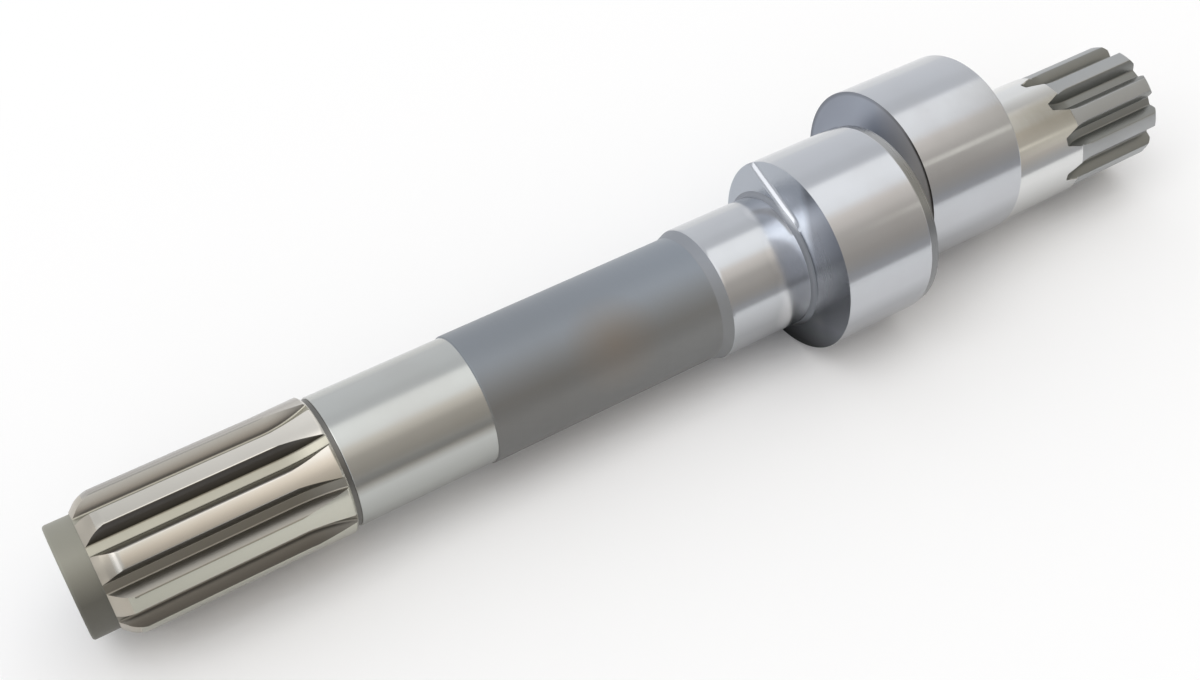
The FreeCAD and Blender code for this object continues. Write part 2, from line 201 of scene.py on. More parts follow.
rear_face = [(SHAFT_END, MOUTH_RADIUS, 0.15), (SHAFT_END - MOUTH_DEPTH, HOLE_RADIUS, 0.3),
             (SHAFT_END - HOLE_DEPTH, HOLE_RADIUS, 0), (SHAFT_END - HOLE_DEPTH, 0.0, 0)]
outline = front_face + front_blank + journal + seats + rear_blank + rear_face
shaft = piece("shaft_steel", turn(chain(bmesh.new(), outline), at(0)))
print("turned shaft", len(shaft.data.polygons), "faces")

# %% [markdown]
# ## Joining and cutting
#
# A lobe is added to the bar and a gap is cut from it, and both are a boolean. The Exact solver needs
# closed meshes, so the helper prints how many edges are open in each: two zeros, and it will hold. The
# result is taken from the evaluated object, and the modifier and the tool are then removed.

# %% Boolean helper
def open_edges(bm):
    """Number of edges that don't join exactly two faces; 0 for a closed skin."""
    return sum(1 for edge in bm.edges if len(edge.link_faces) != 2)


def open_edges_of(obj):
    bm = bmesh.new()
    bm.from_mesh(obj.data)
    count = open_edges(bm)
    bm.free()
    return count


def combine(target, tool, operation):
    """Boolean of two pieces; the tool is used up."""
    print(operation, tool.name, "open edges", open_edges_of(target), open_edges_of(tool))
    modifier = target.modifiers.new("combine", "BOOLEAN")
    modifier.operation = operation
    modifier.solver = "EXACT"
    modifier.object = tool
    solved = bpy.data.meshes.new_from_object(target.evaluated_get(bpy.context.evaluated_depsgraph_get()))
    target.modifiers.clear()
    old = target.data
    target.data = solved
    bpy.data.meshes.remove(old)
    bpy.data.objects.remove(tool)


print("boolean helper ready")

# %% [markdown]
# ## Lobes
#
# Each lobe is round, but about its own axis, 10.1 mm off the shaft's. The bar is chucked off centre for
# that. So each is a second spin, about a shifted line. A lobe is made a little longer than its faces,
# and a ring with one rounded edge is then cut away beside each face. What the ring leaves is the hollow
# fillet between face and seat, trimmed by the lobe's own outline, as the grinding wheel leaves it. A
# bevel of the finished corner would be shorter, but on one side the rim comes within 0.1 mm of the
# seat, and there the face has no room for it.

# %% Lobe and ring helpers
FILLET = 1.5
FILLET_STEPS = 6
CLEAR = 3.0  # how far a cutter reaches past the steel
SKIN = 0.01  # keeps the ring off the seat's own surface


def lobe(name, span, angle, lead_long, lead_deep, rounding):
    """Round lobe about its own axis, with a lead-in cone at its rear rim."""
    centre = at(0, THROW, angle)
    start, end = span
    rim = LOBE_RADIUS - lead_deep
    corners = [(start - FILLET, 0.0, 0), (start - FILLET, LOBE_RADIUS, 0),
               (end - lead_long, LOBE_RADIUS, rounding), (end, rim, rounding / 2),
               (end + FILLET, rim, 0), (end + FILLET, 0.0, 0)]
    bm = chain(bmesh.new(), corners)
    bmesh.ops.translate(bm, verts=bm.verts[:], vec=Vector((0, centre.y, centre.z)))
    return piece(name, turn(bm, centre, LOBE_ROUND))


def ring_cutter(face, away, radius):
    """Ring beside a lobe face, on the side that away (1 or -1) says, with a round corner at the seat."""
    side = face + away * FILLET
    outer = LOBE_RADIUS + THROW + CLEAR
    bm = bmesh.new()
    face_top, side_top, side_low, face_low = [bm.verts.new(at(station, reach, 90)) for station, reach in (
        (face, outer), (side, outer), (side, radius + SKIN), (face, radius + FILLET))]
    bm.edges.new((face_top, side_top))
    bm.edges.new((side_top, side_low))
    # The arc is one vertex swung up from the seat; its last step ends on the face
    step = math.radians(90 / FILLET_STEPS)
    arc = bmesh.ops.spin(bm, geom=[side_low], cent=at(side, radius + SKIN + FILLET, 90), axis=(0, 1, 0),
                         dvec=(0, 0, 0), angle=step * (FILLET_STEPS - 1) * away, steps=FILLET_STEPS - 1,
                         use_merge=False)
    arc_end = [part for part in arc["geom_last"] if isinstance(part, bmesh.types.BMVert)][0]
    bm.edges.new((arc_end, face_low))
    bm.edges.new((face_low, face_top))
    return piece("ring_cutter", turn(bm, at(0)))


print("fillets of", FILLET, "mm")

# %% Lobe one
LEAD_IN = 3.5
lobe_one = lobe("lobe_one", LOBE_ONE, LOBE_ANGLES[0], LEAD_IN, lead_deep=0.7, rounding=0.3)
combine(lobe_one, ring_cutter(LOBE_ONE[0], -1, FRONT_SEAT_RADIUS), "DIFFERENCE")
combine(lobe_one, ring_cutter(LOBE_ONE[1], 1, WEB_RADIUS), "DIFFERENCE")
print("lobe one", len(lobe_one.data.polygons), "faces")

# %% Lobe two
lobe_two = lobe("lobe_two", LOBE_TWO, LOBE_ANGLES[1], lead_long=0.4, lead_deep=0.4, rounding=0.15)
combine(lobe_two, ring_cutter(LOBE_TWO[0], -1, WEB_RADIUS), "DIFFERENCE")
combine(lobe_two, ring_cutter(LOBE_TWO[1], 1, REAR_SEAT_RADIUS), "DIFFERENCE")
print("lobe two", len(lobe_two.data.polygons), "faces")

# %% Join the lobes
combine(shaft, lobe_one, "UNION")
combine(shaft, lobe_two, "UNION")
print("shaft with lobes", len(shaft.data.polygons), "faces")

# %% [markdown]
# ## Splines
#
# A hob cuts the gaps, not the teeth. Its cut is level along the spline and then rises on the hob's own
# radius, which leaves the pointed run-outs. So the cutter here is one gap outline, drawn once, pulled
# straight out over the shaft's end and spun about the hob's axis on the other side. The flanks are
# involutes: the curve that a taut thread draws as it unwinds from the base circle.

# %% Gap outline
MODULE = 3.75
TEETH = 10
PRESSURE = math.radians(20)
SHIFT = 0.8
BASE_RADIUS = MODULE * TEETH / 2 * math.cos(PRESSURE)
FLANK_STEPS = 8
TIP_DEPTH = 0.4
# How the flank turns over into the tip: (mm below the tip, radians wider)
TIP_ROUNDING = ((0.20, 0.008), (0.08, 0.016), (0.02, 0.025), (-0.02, 0.036), (-CLEAR, 0.038))


def gap_half_angle(radius):
    """Half the gap between two teeth at a radius, in radians."""
    half_tooth = (math.pi / 2 + 2 * SHIFT * math.tan(PRESSURE)) / TEETH
    roll = math.acos(min(1.0, BASE_RADIUS / radius))
    return math.pi / TEETH - half_tooth - (math.tan(PRESSURE) - PRESSURE) + math.tan(roll) - roll


def half_gap():
    """Half the gap's outline as (radius, angle), from the middle of the floor to past the tip."""
    half = [(ROOT_RADIUS, gap_half_angle(ROOT_RADIUS) * share) for share in (1 / 3, 2 / 3)]
    flank_end = TIP_RADIUS - TIP_DEPTH
    for k in range(FLANK_STEPS + 1):
        radius = ROOT_RADIUS + (flank_end - ROOT_RADIUS) * k / FLANK_STEPS
        half.append((radius, gap_half_angle(radius)))
    edge = gap_half_angle(flank_end)
    return half + [(TIP_RADIUS - below, edge + wider) for below, wider in TIP_ROUNDING]


print("gap half angle at the root", round(math.degrees(gap_half_angle(ROOT_RADIUS)), 2), "degrees")

# %% Gap cutter
FLOOR_CORNER = 0.55
RISE_STEPS = 28
SAME_PLACE = 1e-8
FLAT = 1e-6


def gap_cutter(floor_station, end_station, hob_radius, rise_degrees):
    """One gap: outline at the end of the level floor, extruded over the shaft end, spun up by the hob."""
    bm = bmesh.new()
    place = (floor_station - SEAT_MIDDLE) * MM
    half = half_gap()
    right = [bm.verts.new((place, r * MM * math.cos(a), r * MM * math.sin(a))) for r, a in half]
    left = [bm.verts.new((place, r * MM * math.cos(a), -r * MM * math.sin(a))) for r, a in half]
    bm.faces.new(right + left[::-1])
    floor_corners = [right[2], left[2]]
    bmesh.ops.bevel(bm, geom=floor_corners, offset=FLOOR_CORNER * MM, offset_type="OFFSET", segments=4,
                    profile=0.5, affect="VERTICES", material=-1)
    result = bmesh.ops.extrude_face_region(bm, geom=bm.faces[:])
    far = [part for part in result["geom"] if isinstance(part, bmesh.types.BMVert)]
    bmesh.ops.translate(bm, verts=far, vec=((end_station - floor_station) * MM, 0, 0))
    # The face at the end of the level floor is swung up about the hob's axis, and is then inside
    near = [face for face in bm.faces if all(abs(vert.co.x - place) < FLAT for vert in face.verts)]
    hob_axis = Vector((place, (ROOT_RADIUS + hob_radius) * MM, 0))
    away = 1 if end_station < floor_station else -1
    bmesh.ops.spin(bm, geom=near, cent=hob_axis, axis=(0, 0, 1), dvec=(0, 0, 0),
                   angle=math.radians(rise_degrees) * away, steps=RISE_STEPS, use_merge=False)
    bmesh.ops.delete(bm, geom=[face for face in near if face.is_valid], context="FACES_ONLY")
    bmesh.ops.remove_doubles(bm, verts=bm.verts[:], dist=SAME_PLACE)
    bmesh.ops.recalc_face_normals(bm, faces=bm.faces[:])
    return bm


def ten_gaps(name, bm, first_angle):
    """Ten copies of the cutter about the shaft."""
    bmesh.ops.rotate(bm, verts=bm.verts[:], cent=(0, 0, 0),
                     matrix=Matrix.Rotation(math.radians(first_angle), 3, "X"))
    start = bm.verts[:] + bm.edges[:] + bm.faces[:]
    for k in range(1, TEETH):
        copy = bmesh.ops.duplicate(bm, geom=start)
        verts = [part for part in copy["geom"] if isinstance(part, bmesh.types.BMVert)]
        bmesh.ops.rotate(bm, verts=verts, cent=(0, 0, 0),
                         matrix=Matrix.Rotation(math.tau * k / TEETH, 3, "X"))
    return piece(name, bm)


print(TEETH, "gaps for each spline")

# %% Cut the front spline
PAST_END = 5.0
FRONT_LEVEL_END = 63.2
FRONT_HOB = 36.0
front_gap = gap_cutter(FRONT_LEVEL_END, -PAST_END, FRONT_HOB, rise_degrees=42)
combine(shaft, ten_gaps("front_gaps", front_gap, first_angle=3.5), "DIFFERENCE")
print("shaft with the front spline", len(shaft.data.polygons), "faces")

# %% Cut the rear spline
REAR_LEVEL_START = 371.4
REAR_HOB = 18.0
rear_gap = gap_cutter(REAR_LEVEL_START, SHAFT_END + PAST_END, REAR_HOB, rise_degrees=60)
combine(shaft, ten_gaps("rear_gaps", rear_gap, first_angle=1.0), "DIFFERENCE")
print("shaft with both splines", len(shaft.data.polygons), "faces")

# %% [markdown]
# ## Clean up the piece
#
# Booleans leave long thin faces on round surfaces. They are flat, so the shape is right, but smooth
# shading needs care: edges over 28 degrees stay sharp, and the Weighted Normal modifier lets large
# faces win over the tiny ones beside them, so flats look flat right up to their rounded edges.

# %% Merge, shade and check
SHARP = 28
bm = bmesh.new()
bm.from_mesh(shaft.data)
bmesh.ops.remove_doubles(bm, verts=bm.verts[:], dist=2e-6)
bmesh.ops.dissolve_degenerate(bm, edges=bm.edges[:], dist=1e-6)
print("edges not shared by two faces", open_edges(bm), "vertices", len(bm.verts))
bm.to_mesh(shaft.data)
bm.free()
shaft.data.shade_smooth()
shaft.data.set_sharp_from_angle(angle=math.radians(SHARP))
weighted = shaft.modifiers.new("weighted", "WEIGHTED_NORMAL")
weighted.keep_sharp = True
weighted.mode = "FACE_AREA"
weighted.weight = 50

# %% [markdown]
# ## A small kit for shader maths
#
# A finish is a little formula: rings that follow the lathe, clouds of stain, and painted light and shade that
# change along the bar or round it. Written as node links that is hard to read, so one class wraps a socket
# and lets Python's own operators add the Math nodes, and one method makes every other node.

# %% Sums on sockets
class Value:
    """A socket that can be used in sums."""

    def __init__(self, kit, socket):
        self.kit = kit
        self.socket = socket

    def maths(self, operation, *others):
        return self.kit.maths(operation, self, *others)

    def __add__(self, other):
        return self.maths("ADD", other)

    def __sub__(self, other):
        return self.maths("SUBTRACT", other)

    def __rsub__(self, other):
        return self.kit.maths("SUBTRACT", other, self)

    def __mul__(self, other):
        return self.maths("MULTIPLY", other)

    def __truediv__(self, other):
        return self.maths("DIVIDE", other)

    def __rtruediv__(self, other):
        return self.kit.maths("DIVIDE", other, self)

    __radd__ = __add__
    __rmul__ = __mul__

    def clamped(self):
        return self.maths("MAXIMUM", 0.0).maths("MINIMUM", 1.0)


def rise(value, start, finish):
    """0 where a length is start mm, 1 where it is finish mm; start may be the larger one."""
    return ((value - start * MM) / ((finish - start) * MM)).clamped()


def rgb(red, green, blue):
    return (red, green, blue, 1.0)


print("sums ready")


class Kit:
    """Makes nodes in the tree of one material or world."""

    def __init__(self, owner):
        owner.use_nodes = True
        self.tree = owner.node_tree
        self.tree.nodes.clear()

    def feed(self, socket, item):
        """Link a value or a socket; set anything else."""
        if isinstance(item, Value):
            item = item.socket
        if isinstance(item, bpy.types.NodeSocket):
            self.tree.links.new(item, socket)
        else:
            socket.default_value = item

    def set_stops(self, ramp, stops):
        while len(ramp.elements) > 1:
            ramp.elements.remove(ramp.elements[0])
        for place, (position, colour) in enumerate(stops):
            element = ramp.elements[0] if place == 0 else ramp.elements.new(position)
            element.position = position
            element.color = rgb(*colour)

    def node(self, kind, settings=None, numbered=None, **sockets):
        """A node of this kind: its settings first, then its sockets, by number or by name."""
        made = self.tree.nodes.new(kind)
        for name, value in (settings or {}).items():
            if name == "stops":
                self.set_stops(made.color_ramp, value)
            else:
                setattr(made, name, value)
        for place, value in (numbered or {}).items():
            self.feed(made.inputs[place], value)
        for name, value in sockets.items():
            self.feed(made.inputs[name.replace("_", " ")], value)
        return made

    def out(self, node, name):
        return Value(self, node.outputs[name])

    def axes(self, vector):
        """The three numbers of a vector."""
        split = self.node("ShaderNodeSeparateXYZ", Vector=vector)
        return [self.out(split, axis) for axis in "XYZ"]

    def maths(self, operation, *items):
        return self.out(self.node("ShaderNodeMath", {"operation": operation}, dict(enumerate(items))), 0)

    def vector_maths(self, operation, first, second):
        made = self.node("ShaderNodeVectorMath", {"operation": operation}, {0: first, 1: second})
        return self.out(made, "Value")

    def mix(self, factor, first, second, blend="MIX"):
        made = self.node("ShaderNodeMix", {"data_type": "RGBA", "blend_type": blend},
                         {0: factor, 6: first, 7: second})
        return made.outputs[2]

    def mix_shaders(self, factor, first, second):
        made = self.node("ShaderNodeMixShader", None, {0: factor, 1: first.outputs[0], 2: second.outputs[0]})
        return made.outputs[0]

    def noise(self, vector, scale, detail, roughness):
        made = self.node("ShaderNodeTexNoise", Vector=vector, Scale=scale, Detail=detail, Roughness=roughness)
        return self.out(made, "Fac")

    def vector(self, x, y, z):
        return self.node("ShaderNodeCombineXYZ", X=x, Y=y, Z=z).outputs[0]

    def between(self, value, start, end):
        """0 before start, 1 after end, smooth in between."""
        made = self.node("ShaderNodeMapRange", {"interpolation_type": "SMOOTHSTEP"}, Value=value,
                         From_Min=start, From_Max=end)
        return self.out(made, "Result")


def new_material(name):
    material = bpy.data.materials.new(name)
    return material, Kit(material)


print("shader kit ready")

# %% [markdown]
# ## How the steel is coloured
#
# Every finish on this shaft was left by something that went round it: a turning tool, a grinding wheel,
# a furnace. So the pattern is drawn in two numbers only, the place along the shaft and the distance from
# the axis. On a round surface that gives fine rings, and on a flat face it gives circles about the axis.
# A painted picture would need an unwrapped mesh and would stretch on the fillets; a formula doesn't.

# %% Masks on the bar
# A rim is darkest up to 16 degrees from its direction and fades until 31; a share of it stays beyond
RIM_FACING = 0.86
RIM_SLOPE = 10.0
RIM_FAR_SHARE = 0.35
# Millimetres from the middle of the painted highlight streak: full up to the core, gone past the edge, faded
# at the ends
HIGHLIGHT_STREAK_CORE = 0.9
HIGHLIGHT_STREAK_EDGE = 2.9
HIGHLIGHT_STREAK_FADE = 4.0


def across(degrees):
    """Unit vector square to the shaft, turned from +Y towards +Z."""
    return (0.0, math.cos(math.radians(degrees)), math.sin(math.radians(degrees)))


def rim_mask(y, z, axis, start, finish, direction):
    """The rim of a lobe, about the lobe's own axis and strongest in one direction."""
    off_y, off_z = y - axis.y, z - axis.z
    out = (off_y * off_y + off_z * off_z).maths("SQRT")
    toward = ((off_y * direction[1] + off_z * direction[2]) / out - RIM_FACING) * RIM_SLOPE
    return rise(out, start, finish) * (toward.clamped() * (1 - RIM_FAR_SHARE) + RIM_FAR_SHARE)


def highlight_streak_mask(y, z, slope, height, start, finish):
    """A straight streak of painted highlight across a flat face, soft at its edges and its ends."""
    offset = (z - y * slope - height * MM).maths("ABSOLUTE")
    ends = rise(y, start, start + HIGHLIGHT_STREAK_FADE) * rise(y, finish, finish - HIGHLIGHT_STREAK_FADE)
    return rise(offset, HIGHLIGHT_STREAK_EDGE, HIGHLIGHT_STREAK_CORE) * ends


print("a rub mark is full for", 2 * HIGHLIGHT_STREAK_CORE, "mm and gone past", 2 * HIGHLIGHT_STREAK_EDGE, "mm")

# %% Steel
# Where the clouds turn into stain, how sharply, and how strong a stain is at most
STAIN_START = 0.42
STAIN_SLOPE = 3.0
STAIN_SHARE = 0.35
# A ring or a wide band isn't the same all round the bar, so its pattern is skewed a little
RING_SKEW = 14.0
BAND_SCALE = 160.0
BAND_SKEW = 4.0
# The colour inside the painted highlight streak on face one
HIGHLIGHT_STREAK_COLOUR = rgb(0.43, 0.442, 0.465)


def steel(name, colour, stain, rough, ring_depth, ring_scale=2200.0, cloud_scale=45.0, spread=0.05,
          coat=0.0, metal=1.0, painted_side_shading=(), along=None, stains_and_light_patches=(), rim=None, highlight_streak=None):
    """Bare metal with rings about the axis and soft stains.

    Side shading (colour, from mm, to mm, direction): painted light and shade, a tint towards one side of the
    bar.
    along: (brighter by, from station, to station), painted light that grows along the bar.
    Patches (colour, place, mm): a soft round stain, and on the front seat a soft round patch of painted
    light.
    rim: (colour, axis, from mm, to mm, direction), a darker band along a lobe's rim, strongest in one
    direction.
    Highlight streak (slope, height mm, from mm, to mm, normal): a painted highlight across a flat face.
    """
    material, kit = new_material(name)
    place = kit.node("ShaderNodeTexCoord").outputs["Object"]
    x, y, z = kit.axes(place)
    radius = (y * y + z * z).maths("SQRT")
    fine = kit.vector(x * ring_scale, radius * ring_scale, (y + z) * RING_SKEW)
    wide = kit.vector(x * BAND_SCALE, radius * BAND_SCALE, (y - z) * BAND_SKEW)
    rings = kit.noise(fine, scale=1.0, detail=3.0, roughness=0.6)
    bands = kit.noise(wide, scale=1.0, detail=2.0, roughness=0.5)
    cloud = kit.noise(place, cloud_scale, detail=3.0, roughness=0.55)
    stained = ((cloud - STAIN_START) * STAIN_SLOPE).clamped() * STAIN_SHARE
    base = kit.mix(stained, rgb(*colour), rgb(*stain))
    # Painted light and shade: each tint grows towards one side of the bar
    for tint, start, finish, direction in painted_side_shading:
        toward = kit.vector_maths("DOT_PRODUCT", place, direction)
        base = kit.mix(rise(toward, start, finish), base, rgb(*tint))
    # Painted light: brighter along part of the bar
    if along:
        gain, start, finish = along
        base = kit.mix(rise(x, start - SEAT_MIDDLE, finish - SEAT_MIDDLE), base, rgb(*gain), "MULTIPLY")
    # Soft round stains, and on the front seat soft round patches of painted light
    for tint, middle, reach in stains_and_light_patches:
        away = kit.vector_maths("DISTANCE", place, middle)
        base = kit.mix(rise(away, reach, 0.0), base, rgb(*tint))
    if rim:
        base = kit.mix(rim_mask(y, z, *rim[1:]), base, rgb(*rim[0]))
    roughness = (rings - 0.5) * spread + (bands - 0.5) * spread + (cloud - 0.5) * spread * 1.5 + rough
    normal = kit.node("ShaderNodeBump", Strength=ring_depth, Distance=0.0001, Height=rings).outputs[0]
    # Painted highlight: the streak gets its own colour, and its normal is turned towards the light
    if highlight_streak:
        mask = highlight_streak_mask(y, z, *highlight_streak[:-1])
        base = kit.mix(mask, base, HIGHLIGHT_STREAK_COLOUR)
        tilt = kit.node("ShaderNodeMix", {"data_type": "VECTOR"}, {0: mask, 4: normal, 5: highlight_streak[-1]})
        normal = tilt.outputs[1]
    shader = kit.node("ShaderNodeBsdfPrincipled", Base_Color=base, Metallic=metal,
                      Roughness=roughness.clamped(), Normal=normal, Coat_Weight=coat, Coat_Roughness=0.35)
    kit.node("ShaderNodeOutputMaterial", Surface=shader.outputs[0])
    return material


print("steel ready")

# %% [markdown]
# ## Finishes of the front end
#
# The stub is as the furnace left it: olive-grey and almost matt. The teeth are bright and a little
# yellow on their lands. The flanks that look away from the light get a darker copy of the flank steel, which
# is painted shade, and the relief groove is painted dark as shade too. Each has a material of its own, and
# painted light and shade to one side make it vary round the bar: the dot product of a point with a
# direction says in millimetres how far out that point lies on that side.

# %% Stub, front spline and relief groove
front_end = [
    # The stub is painted lighter towards the top and darker below: painted light from overhead and painted
    # shade
    steel("stub_satin", (0.110, 0.106, 0.088), (0.09, 0.086, 0.07),
          rough=0.48, ring_depth=0.10, ring_scale=1500.0, metal=0.25,
          painted_side_shading=[((0.275, 0.27, 0.226), 4.0, 15.0, across(78))]),
    # Lands: painted shade towards the front and the back, and a painted highlight that grows towards the
    # run-out end
    steel("spline_land", (0.57, 0.545, 0.49), (0.49, 0.465, 0.41),
          rough=0.20, ring_depth=0.05, ring_scale=900.0,
          painted_side_shading=[((0.42, 0.415, 0.355), 15.0, 20.0, across(180)),
                 ((0.31, 0.295, 0.27), 6.0, 11.0, across(0))],
          along=((1.3, 1.3, 1.32), 15.0, 75.0)),
    # End chamfers: a darker copy of the land steel, painted shade on faces that look towards the bright light
    # at the stub end
    steel("spline_end", (0.45, 0.415, 0.355), (0.39, 0.36, 0.305),
          rough=0.30, ring_depth=0.06, ring_scale=900.0),
    # Gap floors: painted shade towards the front
    steel("spline_floor", (0.40, 0.385, 0.32), (0.33, 0.31, 0.25),
          rough=0.36, ring_depth=0.10, ring_scale=1100.0,
          painted_side_shading=[((0.25, 0.235, 0.20), 8.0, 14.0, across(180))]),
    # Flanks come in a shaded and a lit copy of one steel. This shaded one is painted shade for the flanks
    # that look away from the light, painted lighter towards the back
    steel("shaded_flank", (0.115, 0.108, 0.10), (0.09, 0.085, 0.075),
          rough=0.30, ring_depth=0.08, ring_scale=1100.0,
          painted_side_shading=[((0.34, 0.325, 0.295), 1.0, 7.0, across(0))]),
    # The lit copy of the flank steel, with painted shade towards the front and below
    steel("lit_flank", (0.33, 0.312, 0.275), (0.27, 0.255, 0.225),
          rough=0.34, ring_depth=0.08, ring_scale=1100.0,
          painted_side_shading=[((0.16, 0.151, 0.133), 11.5, 15.5, across(215))]),
    # Relief groove and the journal's shoulder: painted shade in the groove
    steel("relief_shaded", (0.17, 0.167, 0.157), (0.14, 0.137, 0.13),
          rough=0.42, ring_depth=0.10, ring_scale=1500.0),
]
print("front end", [material.name for material in front_end])

# %% [markdown]
# ## Finishes of the journal and the middle
#
# The journal is ground bright for a seal. The middle was only turned and kept its dull grey skin, with
# one soft brown stain. Its metal is rough and only part metallic, under a thin coat: that gives a dull,
# slightly oily grey, where plain rough metal would still mirror the light overhead as a broad band.

# %% Journal, middle and lead-in
journal_and_middle = [
    # Journal: a painted dark band on the front, a painted reflection of the horizon, and painted shade on the
    # lower half
    steel("journal_ground", (0.485, 0.496, 0.48), (0.425, 0.42, 0.40),
          rough=0.20, ring_depth=0.06,
          painted_side_shading=[((0.32, 0.312, 0.285), -2.4, 0.0, across(246)),
                 ((0.485, 0.496, 0.48), 0.8, 3.6, across(246)),
                 ((0.39, 0.40, 0.385), -5.0, 5.0, across(270))]),
    # Middle: the dark grey and the brown patch are the steel's own; painted sheen towards the top, painted
    # shade on the lower half, and painted light growing towards the seat
    steel("middle_dark", (0.182, 0.181, 0.174), (0.165, 0.161, 0.153),
          rough=0.50, ring_depth=0.08, ring_scale=1300.0, cloud_scale=22.0, spread=0.06, coat=0.35, metal=0.6,
          painted_side_shading=[((0.216, 0.237, 0.262), 6.0, 17.0, across(70)),
                 ((0.148, 0.148, 0.144), -7.0, 4.0, across(270))],
          along=((1.12, 1.14, 1.17), 150.0, 205.0),
          stains_and_light_patches=[((0.215, 0.193, 0.170), at(171.0, MIDDLE_RADIUS, 139.0), 17.0)]),
    # Lead-in: painted sheen towards the top
    steel("lead_in_dark", (0.215, 0.22, 0.225), (0.195, 0.20, 0.20),
          rough=0.55, ring_depth=0.04, ring_scale=1300.0, metal=0.3,
          painted_side_shading=[((0.25, 0.266, 0.293), 6.0, 19.0, across(70))]),
]
print("journal and middle", [material.name for material in journal_and_middle])

# %% [markdown]
# ## Finishes of the front seat and the lobes
#
# These are ground and polished, a cool bright grey. The fillet is mostly matt, which keeps its tight
# curve from drawing hard lines of light; its colour is painted darker as shade, with a painted glint at
# the top. Patches of painted light brighten the seat right beside lobe one. Each lobe's flat face has a
# material of its own: face one has a painted highlight, a streak where the normal is turned so that it
# catches the light, and face two is a darker, shaded copy of face one's steel, with a dark rim about
# the lobe's own axis. Painted shade darkens the seat, the fillet, the lobes and face one towards the
# bottom and the front.

# %% Seat, fillet and lobes
seat_and_lobes = [
    # Seat: painted shade on its lower half, and round patches of painted light beside lobe one that cover the
    # dark reflection of the lobe's face
    steel("seat_ground", (0.53, 0.545, 0.567), (0.47, 0.48, 0.50),
          rough=0.17, ring_depth=0.05,
          painted_side_shading=[((0.38, 0.39, 0.405), -9.0, 1.0, across(270))],
          stains_and_light_patches=[((0.92, 0.92, 0.94), at(241.0, FRONT_SEAT_RADIUS, 86.0), 8.0),
                   ((1.0, 1.0, 1.0), at(242.0, FRONT_SEAT_RADIUS, 130.0), 12.0),
                   ((1.0, 1.0, 1.0), at(242.0, FRONT_SEAT_RADIUS, 156.0), 12.0),
                   ((1.0, 1.0, 1.0), at(242.0, FRONT_SEAT_RADIUS, 184.0), 13.0)]),
    # Fillet: a darker, matt copy of the seat steel as painted shade, darker still towards the front and
    # below, with a painted glint near the top
    steel("fillet_soft", (0.26, 0.275, 0.305), (0.24, 0.253, 0.28),
          rough=0.65, ring_depth=0.0, metal=0.2,
          painted_side_shading=[((0.20, 0.212, 0.233), 14.0, 19.0, across(170)),
                 ((0.70, 0.72, 0.76), 23.0, 24.3, across(103)),
                 ((0.05, 0.052, 0.055), 20.5, 23.5, across(230))]),
    # Lobes: painted shade on their lower parts
    steel("lobe_ground", (0.53, 0.545, 0.572), (0.48, 0.485, 0.50),
          rough=0.15, ring_depth=0.05,
          painted_side_shading=[((0.39, 0.40, 0.42), -9.0, -2.0, across(270))]),
    # Lead-in cone of lobe one: a darker copy of the lobe steel, painted shade, darker still towards the front
    steel("lobe_lead_in", (0.36, 0.365, 0.37), (0.32, 0.325, 0.33),
          rough=0.28, ring_depth=0.05,
          painted_side_shading=[((0.22, 0.225, 0.23), 24.0, 38.0, across(180))]),
    # Face one: painted shade towards the front and the bottom, and a painted highlight streak
    steel("lobe_face", (0.44, 0.47, 0.52), (0.38, 0.41, 0.46),
          rough=0.26, ring_depth=0.0, ring_scale=1600.0,
          painted_side_shading=[((0.27, 0.285, 0.31), 8.0, 22.0, across(215)),
                 ((0.22, 0.233, 0.26), 22.5, 26.5, across(158)),
                 ((0.03, 0.032, 0.034), 16.0, 27.0, across(250))],
          highlight_streak=(0.32, 26.4, -12.5, 18.5, (-0.55, -0.20, 0.81))),
    # Face two: a shaded copy of face one's steel, with painted light towards the front, painted shade towards
    # the back and top, and a darker band along its rim
    steel("shaded_lobe_face", (0.34, 0.37, 0.435), (0.30, 0.325, 0.38),
          rough=0.40, ring_depth=0.03, ring_scale=1600.0, metal=0.55,
          painted_side_shading=[((0.62, 0.605, 0.59), 2.0, 22.0, across(160)),
                 ((0.27, 0.295, 0.35), 28.0, 39.0, across(20))],
          rim=((0.05, 0.045, 0.04), at(0, THROW, LOBE_ANGLES[1]), 31.6, 32.5, across(140))),
]
print("seat and lobes", [material.name for material in seat_and_lobes])

# %% [markdown]
# ## Finishes of the rear end
#
# The rear seat is the brightest part of the bar. The rear spline was hobbed and not ground: a dull, even
# grey on the teeth, and a darker one in the gaps.

# %% Rear seat and spline
rear_end = [
    # Rear seat: a painted darker band near the top against a bright reflection, and painted shade on its
    # lower half
    steel("rear_seat_ground", (0.69, 0.695, 0.69), (0.62, 0.62, 0.61),
          rough=0.14, ring_depth=0.06,
          painted_side_shading=[((0.47, 0.458, 0.425), 19.5, 22.3, across(112)),
                 ((0.52, 0.525, 0.52), -5.0, 4.0, across(270))]),
    steel("rear_spline_grey", (0.41, 0.42, 0.425), (0.34, 0.345, 0.345),
          rough=0.46, ring_depth=0.08, ring_scale=1500.0),
    steel("rear_gap", (0.265, 0.27, 0.262), (0.20, 0.205, 0.18),
          rough=0.40, ring_depth=0.08, ring_scale=1500.0),
]
for material in front_end + journal_and_middle + seat_and_lobes + rear_end:
    shaft.data.materials.append(material)
names = [material.name for material in shaft.data.materials]
print("rear end", [material.name for material in rear_end], "finishes in all", len(names))

# %% [markdown]
# ## Which face gets which finish
#
# The finishes change at turned shoulders and at the tooth edges, so each face can be sorted by its
# middle and the way it looks: by station along the bar, by how far below the turned blank it lies
# (then a hob made it) and on the lobes by whether it faces along the shaft.

